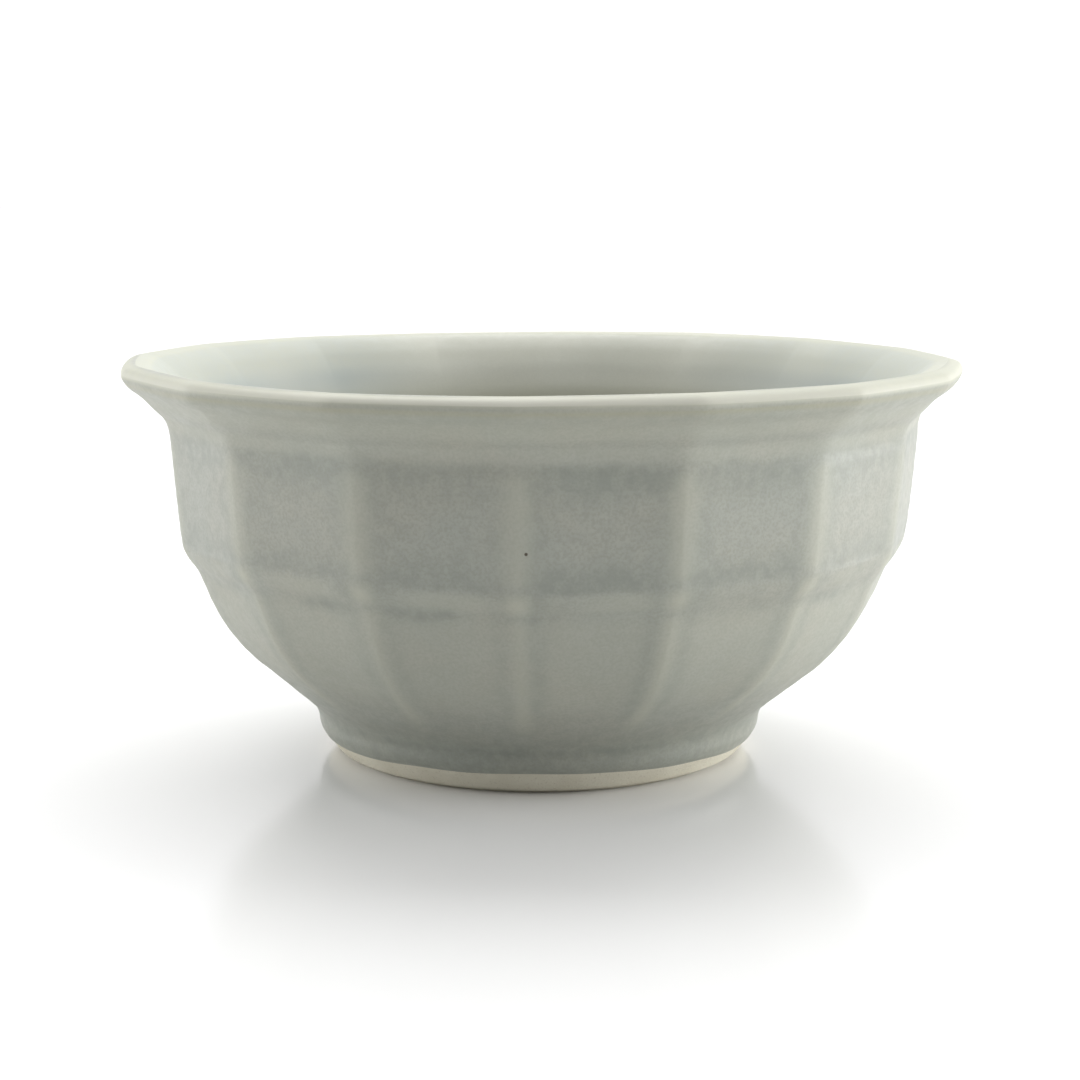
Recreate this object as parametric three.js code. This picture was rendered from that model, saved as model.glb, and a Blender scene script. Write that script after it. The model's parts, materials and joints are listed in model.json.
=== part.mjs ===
// A hand-thrown shaving bowl: a stoneware wall cut into sixteen facets, a turned foot ring, and the
// glaze coats that cover all of it but the lowest part of the ring. Millimetres, +Z up. The origin is
// the centre of the circle on which the bowl stands, and one ridge between two facets faces -Y.
import * as THREE from "three";

// Driving dimensions.
const HEIGHT = 62;
const RIM_RADIUS = 65.8;
const FACETS = 16;
const GLAZE = 0.5; // thickness of every glaze coat

// The outside of the clay wall, along a ridge between two facets. The glaze lies on top of it.
const GROOVE = at(35, 7.5); // where the wall stands on the foot ring
const LOWER_WALL = [at(38.2, 10.6), at(41.5, 13.3), at(46.6, 17.6), at(51.2, 23.4), at(53.3, 28.2)];
const LEDGE = at(55, 31.9); // upper edge of the lower row of facets
const WAIST = at(56.9, 35.3); // lower edge of the upper row of facets
const WALL_TOP = at(58.4, 51.2);
const COVE = at(59.3, 54.7); // where the flared lip starts
const LIP_UNDERSIDE = at(62.7, 58);
const LIP_NOSE = at(RIM_RADIUS - GLAZE, 60.6);
const LIP_CREST = at(63.6, HEIGHT - GLAZE);

// The inside of the clay wall, which is round.
const MOUTH = at(59.2, 59.4); // inner edge of the lip
const THROAT = at(53.8, 51.5); // where the wall flares into the lip
const INNER_WALL = [at(52.2, 44), at(49.9, 37), at(46.8, 30), at(43, 24), at(38.3, 18.7), at(32.5, 15)];
const FLOOR_EDGE = at(17, 12.1); // the nearly flat middle of the inside starts here

// The clay foot ring.
const STANDING_RADIUS = 31.8; // outer edge of the flat that the bowl stands on
const FOOT_BEVEL = at(33.2, 1.5); // the bare clay slopes out from the flat past this point
const GLAZE_LINE = at(34.2, 3.2); // the clay is bare below this height
const FOOT_NECK = at(34.8, 5);
const WELL_MOUTH = at(28.8, 0); // the hollow under the bowl
const WELL_TOP = at(28, GROOVE.y);
const WELL_FILLET = 1; // how far the glaze fills the corner of the hollow

// How far the facets flatten the round wall, from 0 (round) to 1 (plane facets that meet in sharp
// ridges). They fade out towards the foot.
const WALL_FACETING = 0.86;
const FACETS_START = 10;
const FACETS_FULL = 18;
const LIP_FACETING = 0.5; // the lip is softer than the wall, and keeps the facets' outline

const COLUMNS = 3 * FACETS; // mesh columns round the bowl, a whole number to each facet
const SHORTEST_STEP = 0.05; // points of an outline closer than this are one point

const { smoothstep, lerp } = THREE.MathUtils;

// A point of an outline: x is the distance from the bowl's axis, y the height.
function at(radius, height) {
  return new THREE.Vector2(radius, height);
}

// Joins curves end to end into one list of points, each curve given with its number of steps.
function sampled(...stretches) {
  const points = stretches.flatMap(([curve, steps]) => curve.getPoints(steps));
  return points.filter((p, i) => i === 0 || p.distanceTo(points[i - 1]) > SHORTEST_STEP);
}

function bend(from, control, to) {
  return new THREE.QuadraticBezierCurve(from, control, to);
}

// The outer face of the clay wall, from the groove over the foot ring up to the crest of the lip.
function outerWallOutline() {
  return sampled(
    [new THREE.SplineCurve([GROOVE, ...LOWER_WALL, LEDGE]), 8],
    [bend(LEDGE, at(WAIST.x, WAIST.y - 1.9), WAIST), 2],
    [new THREE.LineCurve(WAIST, WALL_TOP), 1],
    [bend(WALL_TOP, at(WALL_TOP.x, COVE.y - 1.2), COVE), 3],
    [new THREE.LineCurve(COVE, LIP_UNDERSIDE), 1],
    [bend(LIP_UNDERSIDE, at(LIP_NOSE.x, LIP_NOSE.y - 1.2), LIP_NOSE), 2],
    [bend(LIP_NOSE, at(LIP_NOSE.x - 0.2, LIP_CREST.y - 0.2), LIP_CREST), 3],
  );
}

// The inner face of the clay wall, from the crest of the lip down to the middle of the floor.
function innerWallOutline() {
  return sampled(
    [bend(LIP_CREST, at(MOUTH.x + 2.2, LIP_CREST.y - 0.1), MOUTH), 2],
    [bend(MOUTH, at(THROAT.x + 2.5, THROAT.y + 5.3), THROAT), 3],
    [new THREE.SplineCurve([THROAT, ...INNER_WALL, FLOOR_EDGE]), 7],
    [new THREE.LineCurve(FLOOR_EDGE, at(0, FLOOR_EDGE.y)), 1],
  );
}

// Moves an open outline sideways, to the right of the way it runs for a positive distance.
function offset(points, distance) {
  return points.map((p, i) => {
    const before = points[Math.max(i - 1, 0)];
    const after = points[Math.min(i + 1, points.length - 1)];
    const along = after.clone().sub(before).normalize();
    return at(Math.max(p.x + along.y * distance, 0), p.y - along.x * distance);
  });
}

// The share of full faceting at a height of the outside, and of the flare inside the lip.
function outerFaceting({ y }) {
  const share = WALL_FACETING * smoothstep(y, FACETS_START, FACETS_FULL);
  return lerp(share, LIP_FACETING, smoothstep(y, WALL_TOP.y, COVE.y));
}

function innerFaceting({ y }) {
  return LIP_FACETING * smoothstep(y, THROAT.y, MOUTH.y);
}

// Rings give a radius along a ridge, a height and a share of faceting. The face of a coat takes its
// shares from the clay under it, so that the coat has one thickness all over.
function rings(points, faceting, clayPoints = points) {
  return points.map((p, i) => ({ r: p.x, z: p.y, faceting: faceting(clayPoints[i]) }));
}

function roundRings(points) {
  return rings(points, () => 0);
}

// Radius of a faceted ring in one column, as a share of its radius along a ridge.
function facetFactor(column, faceting) {
  const halfFacet = Math.PI / FACETS;
  const fromRidge = ((column * FACETS) / COLUMNS) % 1;
  const fromCentre = (2 * fromRidge - 1) * halfFacet;
  return 1 - faceting * (1 - Math.cos(halfFacet) / Math.cos(fromCentre));
}

function ringVertex({ r, z, faceting }, column) {
  const azimuth = (2 * Math.PI * column) / COLUMNS - Math.PI / 2;
  const radius = r * facetFactor(column, faceting);
  return new THREE.Vector3(radius * Math.cos(azimuth), radius * Math.sin(azimuth), z);
}

// A closed solid from a loop of rings that runs anticlockwise seen with the axis on its left. Each
// quad is split along its shorter diagonal, so two solids that share rings share their triangles.
function ringSolid(name, loop, material) {
  const positions = [];
  const triangle = (...corners) => {
    const [a, b, c] = corners;
    const flat = a.distanceTo(b) * b.distanceTo(c) * c.distanceTo(a) === 0;
    if (!flat) positions.push(...corners.flatMap((corner) => corner.toArray()));
  };
  loop.forEach((ring, i) => {
    const next = loop[(i + 1) % loop.length];
    if (ring.r + next.r === 0) return;
    for (let column = 0; column < COLUMNS; column += 1) {
      const a = ringVertex(ring, column);
      const b = ringVertex(ring, (column + 1) % COLUMNS);
      const c = ringVertex(next, (column + 1) % COLUMNS);
      const d = ringVertex(next, column);
      if (a.distanceTo(c) < b.distanceTo(d)) {
        triangle(a, b, c);
        triangle(a, c, d);
      } else {
        triangle(a, b, d);
        triangle(b, c, d);
      }
    }
  });
  const geometry = new THREE.BufferGeometry();
  geometry.setAttribute("position", new THREE.Float32BufferAttribute(positions, 3));
  geometry.computeVertexNormals();
  const mesh = new THREE.Mesh(geometry, material);
  mesh.name = name;
  return mesh;
}

const clay = new THREE.MeshStandardMaterial({ color: 0xb8ab94, roughness: 0.9, metalness: 0 });
const glaze = new THREE.MeshStandardMaterial({ color: 0x9da197, roughness: 0.4, metalness: 0 });

const outerWall = outerWallOutline();
const innerWall = innerWallOutline();

// The glazed clay from the glaze line over the lip to the middle of the floor, and the coat on it.
const glazedClay = [GLAZE_LINE, FOOT_NECK, ...outerWall, ...innerWall.slice(1)];
const glazeFace = offset(glazedClay, GLAZE);
glazeFace[0] = at(GLAZE_LINE.x + GLAZE / 2, GLAZE_LINE.y);
const crest = glazedClay.length - innerWall.length;

// The thrown and faceted wall, with its floor, which closes the hollow of the foot ring.
function bowlWall() {
  const loop = [
    ...rings(outerWall, outerFaceting),
    ...rings(innerWall.slice(1), innerFaceting),
    ...roundRings([at(0, GROOVE.y), WELL_TOP]),
  ];
  return ringSolid("bowl_wall", loop, clay);
}

function footRing() {
  const foot = sampled([bend(at(STANDING_RADIUS, 0), FOOT_BEVEL, GLAZE_LINE), 4]);
  const loop = roundRings([WELL_MOUTH, ...foot, FOOT_NECK, GROOVE, WELL_TOP]);
  return ringSolid("foot_ring", loop, clay);
}

// A coat over the stretch of glazed clay between two points of its outline.
function glazeCoat(name, first, last, faceting) {
  const clayFace = glazedClay.slice(first, last);
  const loop = [
    ...rings(glazeFace.slice(first, last), faceting, clayFace),
    ...rings(clayFace, faceting).toReversed(),
  ];
  return ringSolid(name, loop, glaze);
}

// The coat left in the hollow of the foot when the ring is wiped clean.
function wellGlaze() {
  const face = WELL_TOP.y - GLAZE;
  const loop = roundRings([
    at(0, face),
    at(WELL_TOP.x - WELL_FILLET, face),
    at(WELL_TOP.x, face - WELL_FILLET / 2),
    WELL_TOP,
    at(0, WELL_TOP.y),
  ]);
  return ringSolid("foot_well_glaze", loop, glaze);
}

const bowl = new THREE.Group();
bowl.add(bowlWall(), footRing());
bowl.add(glazeCoat("outer_glaze", 0, crest + 1, outerFaceting));
bowl.add(glazeCoat("inner_glaze", crest, glazedClay.length, innerFaceting));
bowl.add(wellGlaze());

export default bowl;
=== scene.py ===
import json
import math

import bmesh
import bpy
import numpy as np
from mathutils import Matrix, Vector, noise

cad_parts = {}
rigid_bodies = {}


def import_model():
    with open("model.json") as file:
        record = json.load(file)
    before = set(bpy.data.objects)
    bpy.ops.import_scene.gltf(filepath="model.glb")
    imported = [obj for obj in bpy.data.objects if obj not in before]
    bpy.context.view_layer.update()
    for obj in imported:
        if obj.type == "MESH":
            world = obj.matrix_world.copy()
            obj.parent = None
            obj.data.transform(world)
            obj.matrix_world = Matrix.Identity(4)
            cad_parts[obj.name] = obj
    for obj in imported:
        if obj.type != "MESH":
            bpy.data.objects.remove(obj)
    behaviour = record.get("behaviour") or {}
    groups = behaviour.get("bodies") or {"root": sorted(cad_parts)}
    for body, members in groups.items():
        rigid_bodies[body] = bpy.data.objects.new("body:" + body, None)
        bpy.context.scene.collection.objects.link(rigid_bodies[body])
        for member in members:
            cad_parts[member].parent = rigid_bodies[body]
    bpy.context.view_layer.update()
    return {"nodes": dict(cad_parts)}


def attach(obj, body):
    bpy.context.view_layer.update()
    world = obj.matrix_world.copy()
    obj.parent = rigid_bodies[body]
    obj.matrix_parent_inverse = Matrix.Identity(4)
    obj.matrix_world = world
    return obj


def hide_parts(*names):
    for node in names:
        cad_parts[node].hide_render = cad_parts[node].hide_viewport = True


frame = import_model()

for default in list(bpy.data.objects):
    if default.name in ("Cube", "Light", "Camera"):
        bpy.data.objects.remove(default)

MM = 0.001
FACETS = 16
FACET_ANGLE = 2 * math.pi / FACETS
COLUMNS = 28 * FACETS  # mesh columns round the bowl

# Heights on the bowl, from the foot up.
TUCK_HEIGHT = 0.9  # the standing edge is turned under below this
LINE_HEIGHT = 2.9  # the glaze ends about here
EDGE_ROUNDING = 0.5  # height over which the edge of the glaze is rounded
GROOVE = 7.5  # the foot ring meets the wall here
FOOT_FADE = (9.5, 18.0)  # the lower facets fade out between these heights
HEEL = 11.5  # a slight swelling above the foot
WAIST_BAND = (32.2, 34.8)  # the band left between the lower and the upper facets
WAIST = 34  # the band wanders up and down about this height
DRIFT_REACH = 6  # and the wandering fades over this distance
ARCH = 3.6  # height of the rounded upper ends of the lower facets
SHELF = 1.0  # height of the step where an upper facet stops above the band
FACET_TOPS = (51.3, 52.7)  # the upper facets stop under the lip
THROAT = 51.5  # the flare inside the lip starts here
BEAD = 53.6  # a slight ring between the facets and the flare of the lip
RIM_RISE = (55, 61)  # the rim's unevenness sets in between these heights
FLARE_RUN = (55, 58)  # the flare is nearly straight between these heights
MOUTH = 59.4  # the rounded lip starts here
LIP = 61
CREST = 62

# Other sizes.
BAND_FACETING = 0.8  # share of full faceting left in the band
FLARE_FACETING = 0.9
LIP_FACETING = 0.6
RIDGE_WIDTH = 1.8  # the strip of thrown wall left between two facets
RIDGE_RADIUS = 57  # the strips have their full width at this radius
BELLY_RADIUS = 55  # distances round the bowl are measured at this radius
EDGE_SOFTNESS = 0.19  # rounding between facet and strip
CRISPNESS = 0.12  # how much less rounding there is on the flare and the lip
TUCK = 1.0  # how far the standing edge is turned under
FOOT_SPACING = 0.2  # distance between rows on the outside of the foot ring

# Height and shift to +X of the middle of the bowl. The belly sits to one side of its foot.
LEAN = ((0, 0), (7, 0), (15, 0.48), (27, 0.5), (36, 0.55), (50, 0.6), (56, 0.42), (62, 0.36))

# Iron specks on the outside: azimuth in degrees, height and diameter.
SPECKS = (
    (1.8, 40.3, 0.6),
    (8.7, 11.5, 0.35),
    (-31.0, 26.0, 0.3),
    (104.0, 44.0, 0.5),
    (188.0, 22.0, 0.45),
)

# The studio. Places and sizes are in metres, powers in watts.
FLOOR_REACH = 8.0  # half the side of the floor
FRONT_LIGHT = 0.165  # strength of the surroundings in front of the bowl
BACK_LIGHT = 1.25
TOP_LIGHT = 0.8
WHITE = 1.25  # strength of the plain white that the camera sees
LAMP_TARGET = (0, 0, 0.03)
LAMPS = (
    ("overhead", (0, 0.62, 1.15), (1.6, 1.0), 13.5),
    ("right_side", (0.98, 0.1, 0.17), (0.8, 0.48), 9.4),
    ("left_side", (-0.98, 0.1, 0.17), (0.8, 0.48), 5.2),
)

rng = np.random.default_rng(7)


# ---------------------------------------------------------------- sections of the CAD nodes

def section(node):
    """Radii and heights, in millimetres, of the points where the ridge plane crosses a CAD node.

    They start at the upper end on the axis, or else at the highest point, and first run outwards. Of
    points equally high, the innermost is the start.
    """
    weld = 5e-6
    mesh = bmesh.new()
    mesh.from_mesh(frame["nodes"][node].data)
    bmesh.ops.remove_doubles(mesh, verts=mesh.verts, dist=weld)
    near = {v for v in mesh.verts if abs(v.co.x) < weld and v.co.y < weld}
    beside = {v: [e.other_vert(v) for e in v.link_edges if e.other_vert(v) in near] for v in near}
    ends = [v for v in near if len(beside[v]) == 1]
    path = [max(ends or near, key=lambda v: (round(v.co.z, 6), v.co.y))]
    path.append(min(beside[path[0]], key=lambda v: v.co.y))
    while True:
        onward = [v for v in beside[path[-1]] if v not in path[-2:] and v is not path[0]]
        if not onward:
            break
        path.append(onward[0])
    points = np.array([(-v.co.y, v.co.z) for v in path]) / MM
    mesh.free()
    return points


def smooth_curve(points, spacing):
    """A curve through points, sampled about spacing(height) apart."""
    chords = np.sqrt(np.linalg.norm(np.diff(points, axis=0), axis=1))
    slopes = np.diff(points, axis=0) / chords[:, None]
    weights = np.stack([chords[1:], chords[:-1]], axis=1)
    inner = slopes[:-1] * weights[:, :1] + slopes[1:] * weights[:, 1:]
    inner = inner / weights.sum(axis=1, keepdims=True)
    tangents = np.vstack([slopes[:1], inner, slopes[-1:]])
    samples = 40
    dense = []
    for i, chord in enumerate(chords):
        t = np.linspace(0, 1, samples, endpoint=i == len(chords) - 1)[:, None]
        dense.append(
            (2 * t**3 - 3 * t**2 + 1) * points[i]
            + (t**3 - 2 * t**2 + t) * chord * tangents[i]
            + (3 * t**2 - 2 * t**3) * points[i + 1]
            + (t**3 - t**2) * chord * tangents[i + 1]
        )
    dense = np.vstack(dense)
    step = np.linalg.norm(np.diff(dense, axis=0), axis=1)
    middles = (dense[1:, 1] + dense[:-1, 1]) / 2
    rows = np.concatenate([[0], np.cumsum(step / spacing(middles))])
    even = np.linspace(0, rows[-1], max(2, round(rows[-1]) + 1))
    return np.stack([np.interp(even, rows, dense[:, k]) for k in (0, 1)], axis=1)


# ---------------------------------------------------------------- shape functions

def ramp(x, start, end):
    """0 before start, 1 after end, and smooth between them."""
    t = np.clip((x - start) / (end - start), 0, 1)
    return t * t * (3 - 2 * t)


def bump(x, centre, width):
    """1 at the centre, falling smoothly to about a third at the width and to 0 beyond it."""
    return np.exp(-(((x - centre) / width) ** 2))


def waves(azimuth, *terms):
    """A sum of sines round the bowl, each term an amplitude, a number of waves and a phase."""
    return sum(height * np.sin(count * azimuth + phase) for height, count, phase in terms)


def column_azimuths():
    """Azimuths of the mesh columns, closer together near the ridges."""
    crowding = 0.6
    share = np.arange(COLUMNS // FACETS) / (COLUMNS // FACETS)
    crowded = share - crowding * np.sin(2 * np.pi * share) / (2 * np.pi)
    return np.concatenate([(k + crowded) * FACET_ANGLE for k in range(FACETS)])


# By column: where it stands, its facet and nearest ridge, and the unevenness of hand work.
AZIMUTH = column_azimuths()
FROM_CENTRE = (AZIMUTH / FACET_ANGLE % 1 - 0.5) * FACET_ANGLE
FROM_RIDGE = BELLY_RADIUS * (FACET_ANGLE / 2 - np.abs(FROM_CENTRE))
FACET = np.floor(AZIMUTH / FACET_ANGLE + 1e-9).astype(int) % FACETS
RIDGE = np.round(AZIMUTH / FACET_ANGLE).astype(int) % FACETS
BAND_DRIFT = waves(AZIMUTH, (0.25, 1, 1.2), (0.3, 3, 0.4), (0.15, 7, 2.1))
LINE_DRIFT = waves(AZIMUTH, (0.25, 1, 1.57), (0.5, 2, 1.57), (0.06, 9, 0.3), (0.05, 14, 1.9))
GLAZE_LINE = LINE_HEIGHT + LINE_DRIFT
RIM_LIFT = 0.17 * (1 - np.cos(2 * AZIMUTH)) + waves(AZIMUTH, (0.12, 3, -0.5), (0.06, 5, 0.7))


def outer_faceting(z):
    """Share of full faceting at heights on the outside, by column."""
    z = z + BAND_DRIFT * bump(z, WAIST, DRIFT_REACH)
    low, high = WAIST_BAND
    lower = ramp(z, *FOOT_FADE) * (1 - (1 - BAND_FACETING) * ramp(z, low - ARCH, low))
    upper = BAND_FACETING + (1 - BAND_FACETING) * ramp(z, high, high + SHELF)
    share = np.where(z < (low + high) / 2, lower, upper)
    flare = FLARE_FACETING + (LIP_FACETING - FLARE_FACETING) * ramp(z, FACET_TOPS[1], MOUTH)
    return share + (flare - share) * ramp(z, *FACET_TOPS)


def inner_faceting(z):
    """Share of full faceting at heights on the inside, where only the flare is faceted."""
    return LIP_FACETING * ramp(z, THROAT, CREST)


def cut_radius(radius, share, softness):
    """Radius of a thrown wall, by column, after facets of that share of the full depth are cut."""
    flat = math.cos(FACET_ANGLE / 2) / np.cos(FROM_CENTRE)
    half_strip = RIDGE_WIDTH / 2 / RIDGE_RADIUS
    strip = math.cos(FACET_ANGLE / 2 - half_strip) / math.cos(FACET_ANGLE / 2) - 1
    cut = radius * (1 - share * (1 - flat)) * (1 + strip * ramp(share, 0.4, 1))
    nearer = np.minimum(radius, cut)
    rounding = np.log(2) - np.log1p(np.exp(-np.abs(cut - radius) / softness))
    return nearer + softness * rounding


def sideways(z):
    """How far the bowl leans to +X at heights."""
    heights, shifts = zip(*LEAN)
    return np.interp(z, heights, shifts)


def turned(radius, z):
    """Rows of points from a radius and a height for each row and column."""
    angle = AZIMUTH - math.pi / 2
    x = radius * np.cos(angle) + sideways(z)
    y = radius * np.sin(angle)
    return np.stack([x, y, z + RIM_LIFT * ramp(z, *RIM_RISE)], axis=-1)


def soft_noise(points, size, seed):
    """Noise from -1 to 1 at points, with features of about that size."""
    shift = Vector((seed * 17.3, seed * 5.1, seed * 9.7))
    values = [noise.noise(Vector(p) / size + shift) for p in points.reshape(-1, 3)]
    return np.array(values).reshape(points.shape[:-1])


def normals_of(rows, inner_pole=False):
    """Unit normals of a grid of points that closes on itself along its second axis.

    With inner_pole the first row is a single point on the axis.
    """
    along = np.gradient(rows, axis=0)
    around = np.roll(rows, -1, axis=1) - np.roll(rows, 1, axis=1)
    normal = np.cross(along, around)
    if inner_pole:
        normal[0] = normal[1].mean(axis=0)
    return normal / np.linalg.norm(normal, axis=-1, keepdims=True)


# ---------------------------------------------------------------- glaze faces and clay faces

def fine(z):
    """Distance between rows on the outside, least at the foot, the waist, the bead and the lip."""
    creases = np.maximum.reduce([bump(z, WAIST, 3), bump(z, 53, 2.5), 1.1 * bump(z, 4.5, 3.5)])
    return 0.8 - 0.52 * bump(z, LIP, 2.5) - 0.4 * creases


def medium(z):
    """Distance between rows on the inside, least at the lip."""
    return 1.3 - 0.95 * bump(z, LIP, 3)


def coarse(z):
    """Distance between rows on faces that another piece covers."""
    return 2.5 - 1.8 * bump(z, LIP, 3) - 1.2 * bump(z, 4, 4)


def grid(values):
    """A value for each row, repeated in each column."""
    return np.repeat(np.asarray(values, float)[:, None], COLUMNS, axis=1)


def straightened(points, start, end):
    """The outline with a point added half way along each step between two heights."""
    middles = (points[1:] + points[:-1]) / 2
    at = [i for i, z in enumerate(middles[:, 1]) if start < z < end]
    return np.insert(points, [i + 1 for i in at], middles[at], axis=0)


def eased(outline, height, reach):
    """The outline with its bends near a height rounded off."""
    side = 4
    window = np.ones(2 * side + 1) / (2 * side + 1)
    soft = np.convolve(np.pad(outline[:, 0], side, mode="edge"), window, mode="valid")
    share = bump(outline[:, 1], height, reach)
    return np.stack([outline[:, 0] + (soft - outline[:, 0]) * share, outline[:, 1]], axis=1)


outer_section = section("outer_glaze")
inner_section = section("inner_glaze")
foot_section = section("foot_ring")
wall_section = section("bowl_wall")
well_section = section("foot_well_glaze")

# A bed is the side of a coat that lies on the clay. The glaze rounds the bends at waist and groove.
edge = int(np.argmin(outer_section[:, 1]))
crest = int(np.argmax(inner_section[:, 1]))
outside = smooth_curve(straightened(outer_section[: edge + 1], *FLARE_RUN), fine)
outside = eased(outside, 33.8, 3.5)
outside = eased(outside, GROOVE, 1.8)
outside_bed = smooth_curve(outer_section[edge + 1 :], coarse)
inside = smooth_curve(inner_section[: crest + 1], medium)
inside_bed = smooth_curve(inner_section[crest + 1 :], coarse)
standing = int(np.argmin(foot_section[:, 1]))
foot_face = smooth_curve(foot_section[1 : standing + 1], lambda z: FOOT_SPACING)
foot_face[:, 0] -= TUCK * (1 - ramp(foot_face[:, 1], 0, TUCK_HEIGHT))


def clay_radius(z):
    """Radius of the clay of the foot ring at heights up to the groove."""
    order = np.argsort(foot_face[:, 1])
    return np.interp(z, foot_face[order, 1], foot_face[order, 0])


def on_foot(z):
    """Heights below the groove, moved so that the glaze ends at the wavy glaze line."""
    lowest = outer_section[edge, 1]
    moved = GROOVE - (GROOVE - z) * (GROOVE - GLAZE_LINE) / (GROOVE - lowest)
    return np.where(z < GROOVE, moved, z)


def outer_rows(outline, glazed):
    """Points of the outside of the glaze, or of the clay under it."""
    r = grid(outline[:, 0])
    z = grid(outline[:, 1])
    softness = EDGE_SOFTNESS - CRISPNESS * ramp(z, *FACET_TOPS)
    radius = cut_radius(r, outer_faceting(z), softness)
    moved = on_foot(z)
    coat = r - clay_radius(z)
    if glazed:
        above_edge = np.clip((moved - GLAZE_LINE) / EDGE_ROUNDING, 0, 1)
        coat = coat * np.sqrt(1 - (1 - above_edge) ** 2)
    radius = np.where(z < GROOVE, clay_radius(moved) + coat, radius)
    return turned(radius, moved)


def inner_rows(outline):
    """Points of the inside of the glaze, or of the clay under it."""
    r = grid(outline[:, 0])
    z = grid(outline[:, 1])
    softness = EDGE_SOFTNESS - CRISPNESS * ramp(z, MOUTH, CREST)
    return turned(cut_radius(r, inner_faceting(z), softness), z)


def outer_relief(points):
    """How far the glazed outside stands out from, or sinks into, the plain cut wall."""
    z = points[..., 2]
    bead = 0.08 * bump(z, BEAD, 1.0)
    heel = 0.1 * bump(z, HEEL, 2.4)
    dents = 0.055 * soft_noise(points, 12, 1) + 0.015 * soft_noise(points, 4.5, 2)
    dents = dents * ramp(z, 7, 12) * (1 - ramp(z, 56, 59))
    rings = 0.02 * np.sin(2 * np.pi * z / 2.6 + 2 * soft_noise(points, 20, 3))
    return (bead + heel + dents + rings) * ramp(z, 3.6, 5)


def inner_relief(points):
    """How far the glazed inside stands out from, or sinks into, the plain thrown wall."""
    z = points[..., 2]
    from_axis = np.hypot(points[..., 0], points[..., 1])
    rings = 0.05 * np.sin(2 * np.pi * z / 5 + 2 * soft_noise(points, 25, 4))
    uneven = 0.1 * soft_noise(points, 18, 5)
    return (rings + uneven) * (1 - ramp(z, 56, 60)) * ramp(from_axis, 3, 20)


outer_face = outer_rows(outside, True)
outer_bed = outer_rows(outside_bed, False)
inner_face = inner_rows(inside)
inner_bed = inner_rows(inside_bed)
outer_face = outer_face + outer_relief(outer_face)[..., None] * normals_of(outer_face)
inner_face = inner_face + inner_relief(inner_face)[..., None] * normals_of(inner_face, True)
inner_face[0] = inner_face[0].mean(axis=0)
outer_face[0] = inner_face[-1]

# One set of normals across both coats, so that no seam shows where they meet on the crest.
whole_normals = normals_of(np.vstack([inner_face, outer_face[1:]]), True)
inner_normals = whole_normals[: len(inner_face)]
outer_normals = whole_normals[len(inner_face) - 1 :]


# ---------------------------------------------------------------- where glaze runs thinner or gathers, and where light and shade are painted

def outer_thin_and_light(points):
    """Where the glaze runs thinner and paler: ridges, band, bead, flare and lip edge. The lip also
    carries painted light, and the belly is painted paler as painted light.
    """
    drift = BAND_DRIFT + 0.5 * soft_noise(points, 5, 9)
    z = points[..., 2] + drift * bump(points[..., 2], WAIST, DRIFT_REACH)
    radius = np.hypot(points[..., 0], points[..., 1])
    strength = rng.uniform(0.35, 0.6, FACETS)[RIDGE]
    patches = ramp(soft_noise(points, 10, 8), -0.3, 0.4)
    low, high = WAIST_BAND
    upper = 0.85 * bump(FROM_RIDGE, 0, 2.4) * ramp(z, high + 0.4, high + 2.5) * (1 - ramp(z, 49.5, 52))
    lower = bump(FROM_RIDGE, 0, 2.0) * ramp(z, 9, 14) * (1 - ramp(z, low - 2.5, low))
    knot = 0.7 * bump(FROM_RIDGE, 0, 1.9) * bump(z, (low + high) / 2, 1.7)
    band = (0.05 + 0.25 * patches) * ramp(z, low - 1, low + 0.5) * (1 - ramp(z, high - 0.6, high + 0.6))
    bead = 0.25 * bump(z, BEAD, 1.4)
    flare = 0.3 * ramp(z, 54.5, 56.5) * (1 - ramp(z, 58.8, 59.8))
    # Painted light: the lower facets, which face down, are painted paler.
    belly = 0.28 * ramp(z, 12, 18) * (1 - ramp(z, 29, 33))
    # The lip is partly glaze running thinner on the edge and partly painted light from above, with
    # painted shade on the sides.
    lip = ramp(z, 60.2, 60.9) * ramp(radius, 62.6, 64) * (1.2 - 0.1 * ramp(z, 61.3, CREST))
    lip = lip * (1 - 0.1 * np.abs(np.sin(AZIMUTH)))
    return np.maximum.reduce([upper * strength, lower * strength, knot, band, bead, flare, belly, lip])


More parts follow.
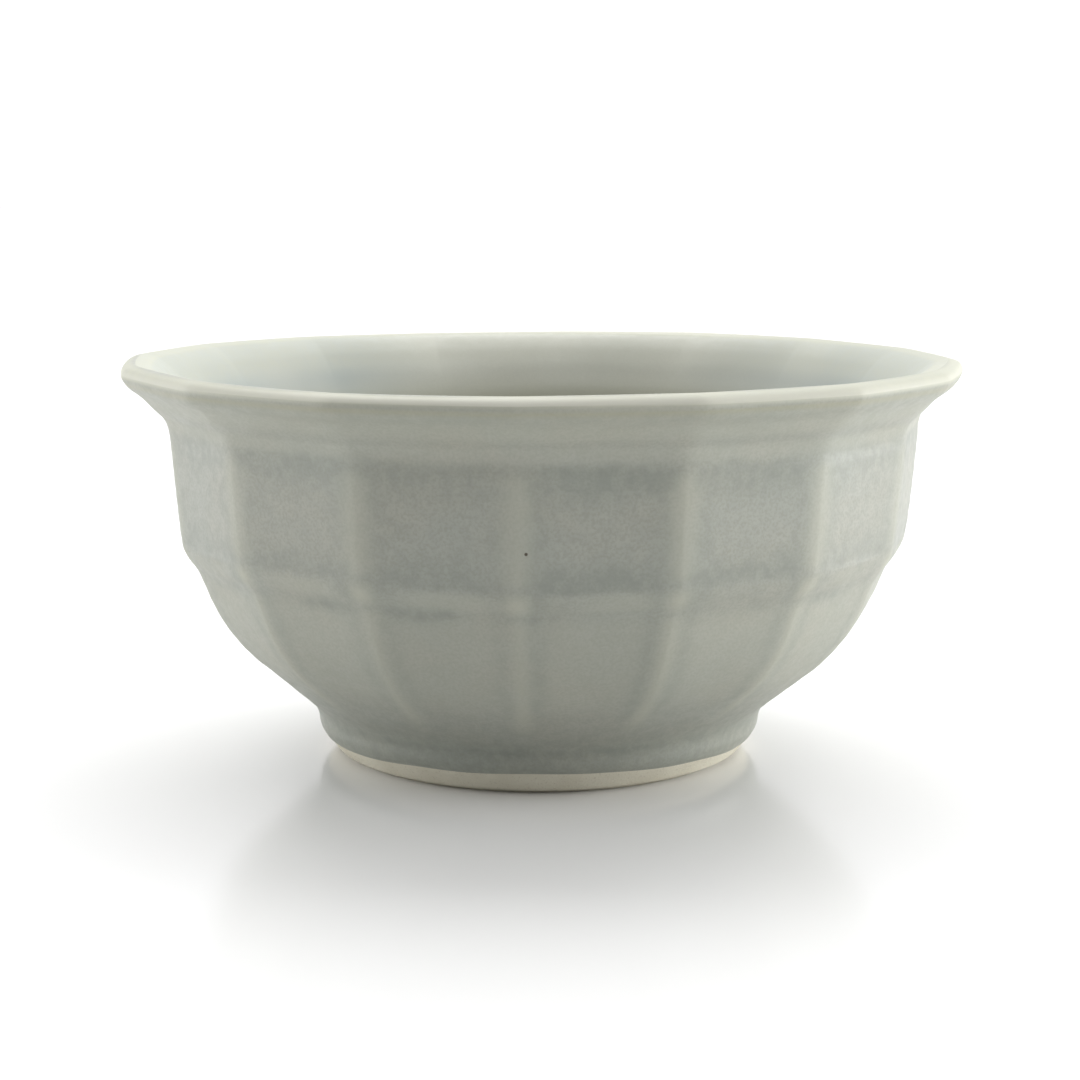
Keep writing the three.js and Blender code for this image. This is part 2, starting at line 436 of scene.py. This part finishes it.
def outer_pool_and_shade(points):
    """Where the glaze gathers: ends of facets, beside ridges, the foot, and under band and lip. At the
    facet tops, beside the ridges, in the groove, towards the foot and under the lip it is also painted
    shade.
    """
    tops_height = 50
    drift = BAND_DRIFT + 0.6 * soft_noise(points, 6, 10)
    reach = np.maximum(bump(points[..., 2], WAIST, DRIFT_REACH), bump(points[..., 2], tops_height, 5))
    z = points[..., 2] + drift * reach
    low, high = WAIST_BAND
    strength = rng.uniform(0.4, 0.9, FACETS)[FACET]
    clear = 1 - bump(FROM_RIDGE, 0, 1.7)
    patches = ramp(soft_noise(points, 9, 6), -0.1, 0.35)
    feet = 0.8 * ramp(z, high - 0.2, high + 1) * (1 - ramp(z, high + 1.6, high + 6.0))
    # Facet tops: partly glaze gathered where the cut starts, partly painted shade where the tops face
    # down.
    tops = 0.8 * ramp(z, 45.5, 50.6) * (1 - ramp(z, 51.6, 53.2))
    # Beside the ridges: partly glaze gathered, partly painted shade in the hollow of each facet.
    sides = 0.45 * bump(FROM_RIDGE, 2.7, 1.5) * ramp(z, 12, 16) * (1 - ramp(z, 50, 52))
    under_band = 0.7 * bump(z, low - 1.2, 1.1) * patches
    # Groove: partly glaze gathered, partly painted shade in the crease.
    groove = bump(z, GROOVE - 0.4, 0.9) * (0.7 + 0.3 * patches)
    # Towards the foot: partly glaze gathered, partly painted shade under the belly.
    skirt = 0.45 * (1 - ramp(z, 8, 15))
    # Under the lip: partly glaze gathered, partly painted shade beneath the overhang.
    under_lip = 0.3 * bump(z, 58.9, 0.9)
    spread = np.maximum.reduce([feet * strength, tops * strength, sides * strength, under_band]) * clear
    return np.clip(np.maximum.reduce([spread, groove, skirt, under_lip]), 0, 1)


def outer_edge(points):
    """The lower edge of the lip, where the glaze runs thinner and shows the clay's iron."""
    z = points[..., 2]
    return bump(z, 59.75, 0.4) * ramp(np.hypot(points[..., 0], points[..., 1]), 62, 64)


def inner_thin_and_light(z, flanks):
    """Where the inside glaze runs thinner: the flare and, more so, the lip. On the flanks the amounts
    change, as painted light and shade for the lamps at the sides.
    """
    lip = (1.1 - 0.1 * flanks) * ramp(z, 61.2, 61.9)
    flare = (0.4 + 0.25 * flanks) * ramp(z, 54.5, 58.5)
    return np.maximum(lip, flare)


def inner_painted_shade(z):
    """The inside is darker and warmer below the flare: painted shade deeper in the bowl."""
    return 0.9 * (1 - ramp(z, 47, 57))


def inner_pool(z):
    """Where the inside glaze gathers: on the floor of the bowl."""
    return 0.4 * (1 - ramp(z, 13, 20))


# ---------------------------------------------------------------- materials

def srgb(red, green, blue):
    """A colour given in 0 to 255 display values, as Blender's linear RGBA."""
    shares = [c / 255 for c in (red, green, blue)]
    linear = [c / 12.92 if c <= 0.04 else ((c + 0.055) / 1.055) ** 2.4 for c in shares]
    return (*linear, 1)


GLAZE = {
    "green": srgb(160, 163, 154),
    "grey": srgb(164, 164, 153),
    "streak": srgb(166, 168, 160),
    "mottle": srgb(147, 150, 142),
    "grain": srgb(143, 146, 134),
    # Painted light: the inside is mixed towards this paler colour.
    "painted_inside_light": srgb(212, 213, 203),
    # Painted shade: a bluish tint on the flanks of the inside.
    "cool_flank_shade": srgb(161, 169, 167),
    # Paler where the glaze runs thinner, plus painted light on the belly and lip and painted light and
    # shade on the inside flanks.
    "thin_and_light": srgb(186, 187, 171),
    # The palest rim tone: partly glaze breaking on the edge, partly painted light on the lip.
    "cream_and_light": srgb(212, 211, 199),
    # Where the glaze gathers, and painted shade.
    "pool_and_shade": srgb(134, 139, 130),
    # Iron at the lip's lower edge outside; painted shade below the flare inside.
    "olive_and_shade": srgb(160, 159, 137),
    "iron": srgb(74, 66, 54),
}
CLAY = {
    "pale": srgb(218, 214, 197),
    "buff": srgb(209, 204, 186),
    "sand": srgb(180, 172, 153),
}
FLOOR_COLOUR = (0.87, 0.87, 0.87, 1)


class Nodes:
    """Builds the node tree of a material or of the world."""

    def __init__(self, owner):
        self.owner = owner
        self.owner.use_nodes = True
        self.tree = self.owner.node_tree

    def add(self, kind, inputs=None, **settings):
        node = self.tree.nodes.new("ShaderNode" + kind)
        for key, value in settings.items():
            setattr(node, key, value)
        for key, value in (inputs or {}).items():
            self.put(node.inputs[key], value)
        return node

    def put(self, socket, value):
        """Links a socket to another one, or sets its value."""
        if isinstance(value, bpy.types.NodeSocket):
            self.tree.links.new(value, socket)
        else:
            socket.default_value = value

    def attribute(self, name):
        """A number stored on the mesh, or 0 where the mesh has none of that name."""
        return self.add("Attribute", attribute_name=name).outputs["Fac"]

    def math(self, operation, *values):
        return self.add("Math", dict(enumerate(values)), operation=operation).outputs[0]

    def blend(self, share, first, second):
        """A number, from first at share 0 to second at share 1."""
        return self.add("Mix", {0: share, 2: first, 3: second}).outputs[0]

    def mix(self, share, first, second):
        """A colour, from first at share 0 to second at share 1."""
        node = self.add("Mix", data_type="RGBA")
        for key, value in ((0, share), (6, first), (7, second)):
            self.put(node.inputs[key], value)
        return node.outputs[2]

    def noise(self, place, size, detail=2.0, stretch=(1, 1, 1)):
        """Noise from 0 to 1 with features of that size in millimetres."""
        mapping = self.add("Mapping", {"Vector": place, "Scale": stretch})
        inputs = {"Vector": mapping.outputs[0], "Scale": 1 / (size * MM), "Detail": detail}
        return self.add("TexNoise", inputs).outputs[0]

    def remap(self, value, start, end, low=0.0, high=1.0):
        """low up to start, high from end on, and smooth between them."""
        inputs = {0: value, 1: start, 2: end, 3: low, 4: high}
        return self.add("MapRange", inputs, interpolation_type="SMOOTHSTEP").outputs[0]

    def bump(self, height, depth):
        """A bump of that depth in millimetres."""
        return self.add("Bump", {"Height": height, "Distance": depth * MM, "Strength": 1.0}).outputs[0]

    def surface(self, **sockets):
        """Sets sockets of the material's shader and returns the material."""
        for name, value in sockets.items():
            self.put(self.tree.nodes["Principled BSDF"].inputs[name.replace("_", " ")], value)
        return self.owner


def speck_mask(n, place):
    """1 inside the iron specks and 0 elsewhere."""
    mask = 0.0
    for degrees, height, size in SPECKS:
        angle = math.radians(degrees - 90)
        row = np.argmin(np.abs(outside[:, 1] - height))
        radius = outside[row, 0]
        centre = Vector((radius * math.cos(angle), radius * math.sin(angle), height)) * MM
        distance = n.add("VectorMath", {0: place, 1: centre}, operation="DISTANCE").outputs["Value"]
        mask = n.math("MAXIMUM", mask, n.remap(distance, size / 2 * MM, size / 4 * MM))
    return mask


def glaze_body(n, place, mottle, grain, painted_light):
    """The colour of glaze of even thickness: clouds, streaks round the wall, mottle and grain. On the
    inside it is also painted paler all over as painted light, and tinted bluish on the flanks as
    painted shade.
    """
    cloud = n.noise(place, 14, 3)
    streak = n.noise(place, 7, 3, (1, 1, 5))
    wash = n.noise(place, 26, 2)
    cool_flank_shade = n.math("MULTIPLY", n.attribute("glaze_cool_flank_shade"), n.remap(wash, 0.3, 0.6, 0.6, 1.0))
    body = n.mix(n.remap(cloud, 0.35, 0.65), GLAZE["green"], GLAZE["grey"])
    body = n.mix(n.remap(streak, 0.3, 0.7, 0, 0.35), body, GLAZE["streak"])
    body = n.mix(n.remap(mottle, 0.35, 0.7, 0, 0.35), body, GLAZE["mottle"])
    body = n.mix(n.remap(grain, 0.35, 0.7, 0, 0.55), body, GLAZE["grain"])
    # Painted light: the inside is painted paler all over.
    body = n.mix(painted_light, body, GLAZE["painted_inside_light"])
    # Painted shade: the flanks of the inside are tinted bluish.
    return n.mix(cool_flank_shade, body, GLAZE["cool_flank_shade"])


def glaze_material(name, painted_light=0.0):
    """Satin grey-green glaze. It turns paler where it runs thinner and darker where it gathers, and
    carries painted light and painted shade through the same masks.
    """
    n = Nodes(bpy.data.materials.new(name))
    place = n.add("NewGeometry").outputs["Position"]
    mottle = n.noise(place, 1.7, 4)
    grain = n.noise(place, 0.42, 2)
    thinness_and_light = n.attribute("glaze_thin_and_light")
    # The palest rim tone: partly glaze breaking on the edge, partly painted light on the lip.
    cream_and_light = n.remap(thinness_and_light, 0.95, 1.3)
    thin_and_light = n.math("MULTIPLY", thinness_and_light, n.remap(mottle, 0.3, 0.7, 0.8, 1.05))
    pool_and_shade = n.math("MULTIPLY", n.attribute("glaze_pool_and_shade"), n.remap(mottle, 0.3, 0.7, 0.6, 1.2))
    olive_and_shade = n.attribute("glaze_edge_and_shade")
    colour = glaze_body(n, place, mottle, grain, painted_light)
    # Paler where the glaze runs thinner, plus painted light on the belly and lip and painted light and
    # shade on the inside flanks.
    colour = n.mix(n.math("MULTIPLY", thin_and_light, 0.9), colour, GLAZE["thin_and_light"])
    colour = n.mix(cream_and_light, colour, GLAZE["cream_and_light"])
    # Darker where the glaze gathers, plus painted shade at facet tops, beside ridges, in the groove,
    # towards the foot and under the lip.
    colour = n.mix(n.math("MULTIPLY", pool_and_shade, 0.8), colour, GLAZE["pool_and_shade"])
    # Iron on the lip's lower edge outside; painted shade below the flare inside.
    colour = n.mix(n.math("MULTIPLY", olive_and_shade, 0.7), colour, GLAZE["olive_and_shade"])
    colour = n.mix(speck_mask(n, place), colour, GLAZE["iron"])
    rough = n.math("ADD", n.remap(mottle, 0.3, 0.7, 0.4, 0.48), n.math("MULTIPLY", pool_and_shade, -0.06))
    rough = n.math("ADD", rough, n.math("MULTIPLY", thin_and_light, 0.18))
    height = n.math("ADD", n.math("MULTIPLY", grain, 0.4), mottle)
    height = n.math("MULTIPLY", height, n.remap(thin_and_light, 0.3, 0.9, 1.0, 0.15))
    return n.surface(Base_Color=colour, Roughness=rough, Normal=n.bump(height, 0.004))


def clay_material():
    """Bare stoneware, dry and slightly sandy."""
    n = Nodes(bpy.data.materials.new("bare_clay"))
    place = n.add("NewGeometry").outputs["Position"]
    cloud = n.noise(place, 7, 3)
    sand = n.noise(place, 0.35, 3)
    marks = n.noise(place, 1.2, 2, (0.25, 0.25, 4))
    colour = n.mix(n.remap(cloud, 0.3, 0.7), CLAY["pale"], CLAY["buff"])
    colour = n.mix(n.remap(sand, 0.55, 0.75, 0, 0.5), colour, CLAY["sand"])
    height = n.math("ADD", sand, marks)
    return n.surface(Base_Color=colour, Roughness=0.85, Normal=n.bump(height, 0.05))


def floor_material():
    """Pale and slightly shiny."""
    n = Nodes(bpy.data.materials.new("floor_acrylic"))
    return n.surface(Base_Color=FLOOR_COLOUR, Roughness=0.16, Specular_IOR_Level=0.4)


# ---------------------------------------------------------------- pieces

def faces_between(rows):
    """Faces of a grid of rows, as vertex numbers. A row of one point is a point on the axis."""
    starts = np.cumsum([0, *(len(row) for row in rows)]).tolist()
    closed = len(rows[0]) > 1
    faces = []
    for i in range(len(rows) if closed else len(rows) - 1):
        j = (i + 1) % len(rows)
        for a in range(COLUMNS):
            b = (a + 1) % COLUMNS
            if len(rows[i]) == 1:
                faces.append((starts[i], starts[j] + b, starts[j] + a))
            elif len(rows[j]) == 1:
                faces.append((starts[i] + a, starts[i] + b, starts[j]))
            else:
                faces.append((starts[i] + a, starts[i] + b, starts[j] + b, starts[j] + a))
    return faces


def facing_out(faces, points):
    """The faces, all turned over if together they face inwards."""
    first, second, third = [points[[face[k] for face in faces]] for k in range(3)]
    volume = np.einsum("ij,ij->i", first, np.cross(second, third)).sum()
    if volume < 0:
        return [face[::-1] for face in faces]
    return faces


def store_values(mesh, rows, values):
    """Stores named numbers for the first rows on the mesh, and 0 for its other rows."""
    for name, value in values.items():
        given = np.concatenate([v[: len(row)] for v, row in zip(value, rows)])
        full = np.zeros(len(mesh.vertices), np.float32)
        full[: len(given)] = given
        mesh.attributes.new(name, "FLOAT", "POINT").data.foreach_set("value", full)


def set_normals(mesh, rows, normals):
    """Sets the shading normals of faces between the first rows, and leaves the other faces alone."""
    given = np.vstack([v[: len(row)] for v, row in zip(normals, rows)])
    smooth = np.zeros((len(mesh.vertices), 3))
    smooth[: len(given)] = given
    known = np.zeros(len(mesh.vertices), bool)
    known[: len(given)] = True
    corners = np.zeros(len(mesh.loops), np.int32)
    mesh.loops.foreach_get("vertex_index", corners)
    totals = np.array([face.loop_total for face in mesh.polygons])
    starts = np.cumsum([0, *totals[:-1]])
    whole_face = np.repeat(np.logical_and.reduceat(known[corners], starts), totals)
    custom = np.where(whole_face[:, None], smooth[corners], 0)
    mesh.normals_split_custom_set(custom.tolist())


def make_piece(node, rows, material, normals=None, values=None):
    """A closed mesh from rows of points, which runs round to its start or from axis to axis.

    normals and values, for its first rows, are their shading normals and their named numbers.
    """
    rows = [row[:1] if np.ptp(row, axis=0).max() < 1e-6 else row for row in rows]
    points = np.vstack(rows) * MM
    mesh = bpy.data.meshes.new(node + "_mesh")
    mesh.from_pydata(points.tolist(), [], facing_out(faces_between(rows), points))
    mesh.shade_smooth()
    store_values(mesh, rows, values or {})
    if normals is not None:
        set_normals(mesh, rows, normals)
    piece = bpy.data.objects.new(node + "_fine", mesh)
    bpy.context.scene.collection.objects.link(piece)
    mesh.materials.append(material)
    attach(piece, "root")
    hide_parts(node)


outer_values = {
    "glaze_thin_and_light": outer_thin_and_light(outer_face),
    "glaze_pool_and_shade": outer_pool_and_shade(outer_face),
    "glaze_edge_and_shade": outer_edge(outer_face),
}

# flanks is 1 on the sides of the bowl towards +X and -X, and 0 at the front and the back.
inner_z = inner_face[..., 2]
flanks = ramp(np.abs(np.sin(AZIMUTH)), 0.35, 0.75)
# On the inside the flanks carry painted light and shade for the lamps at the sides.
inner_values = {
    "glaze_thin_and_light": inner_thin_and_light(inner_z, flanks),
    "glaze_pool_and_shade": inner_pool(inner_z),
    "glaze_edge_and_shade": inner_painted_shade(inner_z),
    "glaze_cool_flank_shade": np.broadcast_to(flanks, inner_z.shape),
}
outer_glaze = glaze_material("outer_glaze")
# Painted light: the inside glaze is painted paler all over.
inner_glaze = glaze_material("inner_glaze", 0.6)
clay = clay_material()

outer_coat = [*outer_face, *outer_bed]
inner_coat = [*inner_face, *inner_bed]
make_piece("outer_glaze", outer_coat, outer_glaze, outer_normals, outer_values)
make_piece("inner_glaze", inner_coat, inner_glaze, inner_normals, inner_values)

# The wall runs from the middle of the bowl's floor over the crest to the joint with the foot ring,
# and under the bowl back to the axis.
wall_crest = int(np.argmax(wall_section[:, 1]))
joint = int(np.argmin(np.hypot(*(wall_section - foot_section[1]).T)))
wall_inside = inner_rows(smooth_curve(wall_section[: wall_crest + 1], coarse))
wall_outside = outer_rows(smooth_curve(wall_section[wall_crest : joint + 1], coarse), False)
wall_under = turned(grid(wall_section[joint + 1 :, 0]), grid(wall_section[joint + 1 :, 1]))
make_piece("bowl_wall", [*wall_inside, *wall_outside[1:], *wall_under], clay)

foot_rest = foot_section[standing:]
foot_loop = np.vstack([foot_face, foot_rest[1:], foot_section[:1]])
foot_rows = turned(grid(foot_loop[:, 0]), grid(foot_loop[:, 1]))
make_piece("foot_ring", foot_rows, clay)
well_rows = turned(grid(well_section[:, 0]), grid(well_section[:, 1]))
make_piece("foot_well_glaze", well_rows, outer_glaze)


# ---------------------------------------------------------------- studio

def floor():
    """A plain square that reaches out of sight."""
    r = FLOOR_REACH
    corners = [(-r, -r, 0), (r, -r, 0), (r, r, 0), (-r, r, 0)]
    mesh = bpy.data.meshes.new("floor")
    mesh.from_pydata(corners, [], [(0, 1, 2, 3)])
    mesh.materials.append(floor_material())
    piece = bpy.data.objects.new("floor", mesh)
    bpy.context.scene.collection.objects.link(piece)


def softbox(name, place, size, power):
    """A rectangular lamp that faces the bowl."""
    light = bpy.data.lights.new(name, "AREA")
    light.shape = "RECTANGLE"
    light.size, light.size_y = size
    light.energy = power
    lamp = bpy.data.objects.new(name, light)
    lamp.location = place
    towards = Vector(LAMP_TARGET) - Vector(place)
    lamp.rotation_euler = towards.to_track_quat("-Z", "Y").to_euler()
    bpy.context.scene.collection.objects.link(lamp)


def surroundings():
    """Light from all round: strong from behind, less from above and dim from in front.

    The camera sees plain white instead, and so do reflections of the horizon.
    """
    world = bpy.data.worlds.new("studio")
    n = Nodes(world)
    direction = n.add("TexCoord").outputs["Generated"]
    split = n.add("SeparateXYZ", {0: direction})
    path = n.add("LightPath")
    sides = n.remap(split.outputs["Y"], -0.6, 0.5, FRONT_LIGHT, BACK_LIGHT)
    top = n.remap(split.outputs["Z"], 0.38, 0.85)
    sky = n.blend(top, sides, TOP_LIGHT)
    horizon = n.remap(split.outputs["Z"], 0.15, 0.4, 1.0, 0.0)
    shiny = n.math("MULTIPLY", path.outputs["Is Glossy Ray"], horizon)
    white = n.math("MAXIMUM", path.outputs["Is Camera Ray"], shiny)
    background = n.tree.nodes["Background"]
    background.inputs["Color"].default_value = (1, 1, 1, 1)
    n.put(background.inputs["Strength"], n.blend(white, sky, WHITE))
    bpy.context.scene.world = world


def studio():
    """Floor, lamps and surroundings, shown in plain display colours."""
    floor()
    for lamp in LAMPS:
        softbox(*lamp)
    surroundings()
    bpy.context.scene.view_settings.view_transform = "Standard"


def camera():
    """A long lens a little above the rim and slightly to one side of a ridge."""
    distance = 0.350
    height = 0.0893
    side = math.radians(3.5)
    tilt = math.radians(9.15)
    data = bpy.data.cameras.new("camera")
    data.sensor_width = 36
    data.lens = 73.97
    data.shift_x = 0.001
    view = bpy.data.objects.new("camera", data)
    view.location = (distance * math.sin(side), -distance * math.cos(side), height)
    view.rotation_euler = (math.pi / 2 - tilt, 0, side)
    bpy.context.scene.collection.objects.link(view)
    bpy.context.scene.camera = view


studio()
camera()
